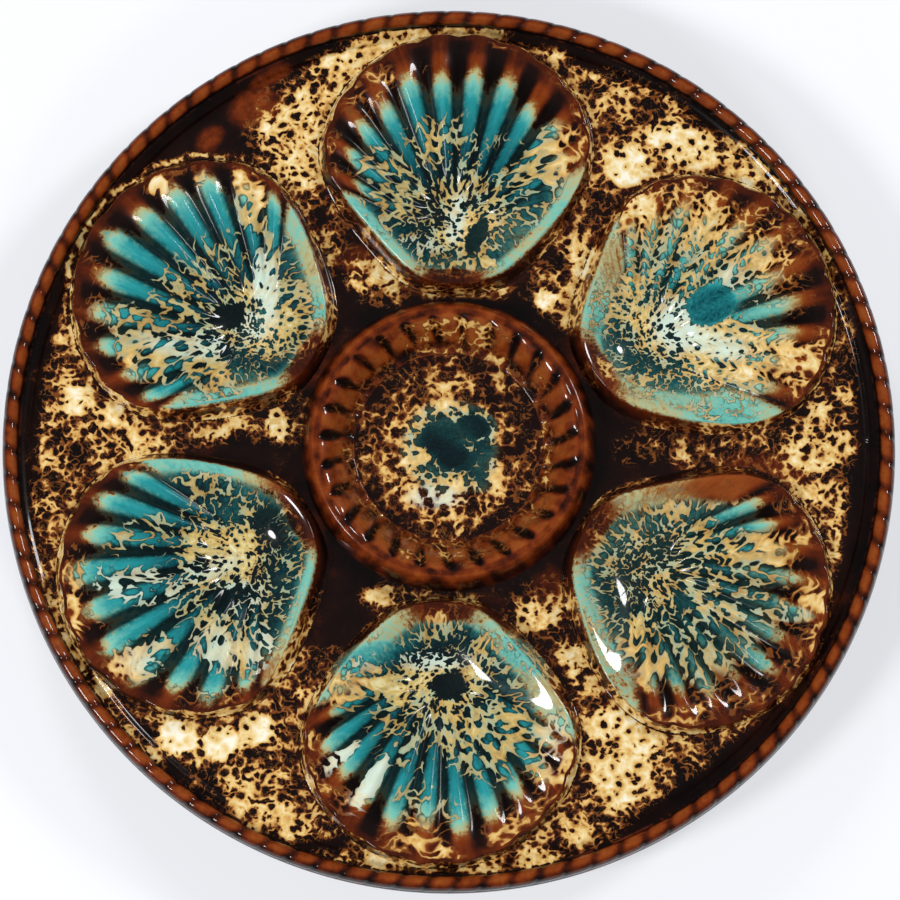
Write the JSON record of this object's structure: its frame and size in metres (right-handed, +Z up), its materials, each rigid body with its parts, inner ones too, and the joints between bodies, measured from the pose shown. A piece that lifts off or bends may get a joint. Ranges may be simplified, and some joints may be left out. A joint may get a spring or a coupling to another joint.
{
  "type": "oyster plate",
  "caption": "Round glazed earthenware oyster plate with scallop-shaped wells round a gadrooned sauce well and a rope-edged rim.",
  "frame": {"origin": "centre of the foot ring's standing face", "axes": "+Z up along the plate's axis, +Y towards the first oyster well"},
  "size_m": [0.245, 0.245, 0.0219],
  "materials": {
    "brown_glaze": "glossy",
    "rope_glaze": "glossy",
    "shell_glaze": "glossy",
    "collar_glaze": "glossy",
    "sauce_glaze": "glossy",
    "foot_glaze": "satin"
  },
  "bodies": {
    "root": {"foot_ring": "foot_glaze", "plate_field": "brown_glaze", "rope_rim": "rope_glaze", "sauce_well": "sauce_glaze", "sauce_collar": "collar_glaze", "oyster_well_1": "shell_glaze", "oyster_well_2": "shell_glaze", "oyster_well_3": "shell_glaze", "oyster_well_4": "shell_glaze", "oyster_well_5": "shell_glaze", "oyster_well_6": "shell_glaze"}
  },
  "joints": []
}
